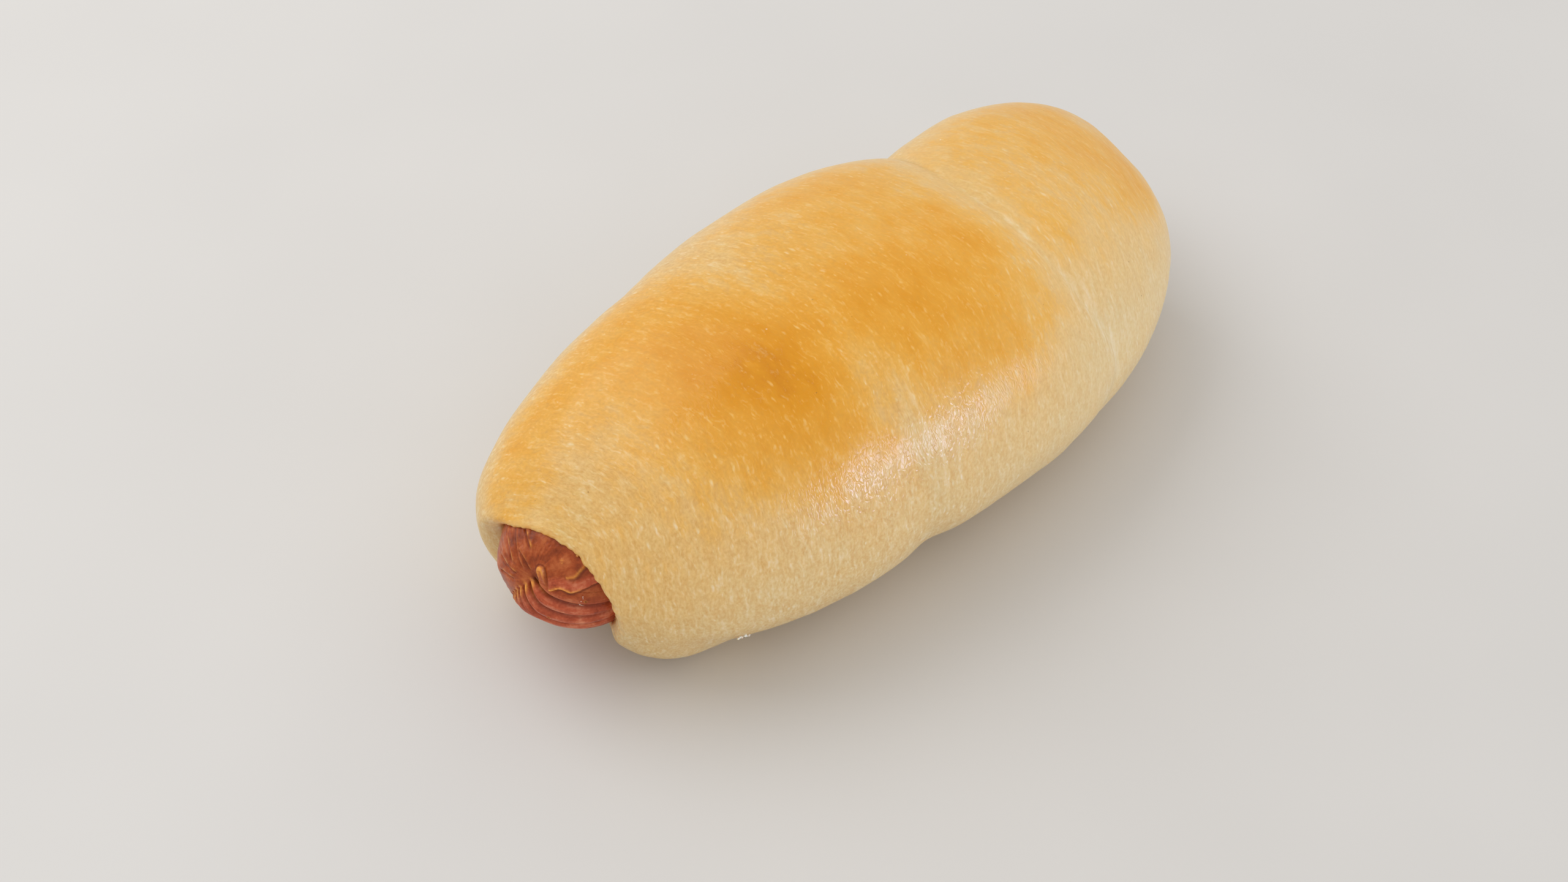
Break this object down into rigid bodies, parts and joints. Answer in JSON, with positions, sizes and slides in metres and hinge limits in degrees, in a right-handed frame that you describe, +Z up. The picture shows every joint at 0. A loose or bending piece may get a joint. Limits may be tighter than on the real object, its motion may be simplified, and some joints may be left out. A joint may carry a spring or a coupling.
{
  "type": "sausage kolache",
  "caption": "Soft golden bun of dough wound round a sausage in swelling turns, with the sausage's puckered end showing at the front, to serve as a baked snack",
  "frame": {"origin": "middle of the underside of the box round the bun and the sausage, on the surface it stands on", "axes": "+X runs along the bun, away from the end that shows the sausage; +Y is across it; +Z is up"},
  "size_m": [0.139, 0.0672, 0.0456],
  "materials": {
    "crust": "soft golden crust with a light butter gloss",
    "sausage_skin": "moist smoked skin"
  },
  "bodies": {
    "root": {"bun": "crust", "sausage": "sausage_skin"}
  },
  "joints": []
}
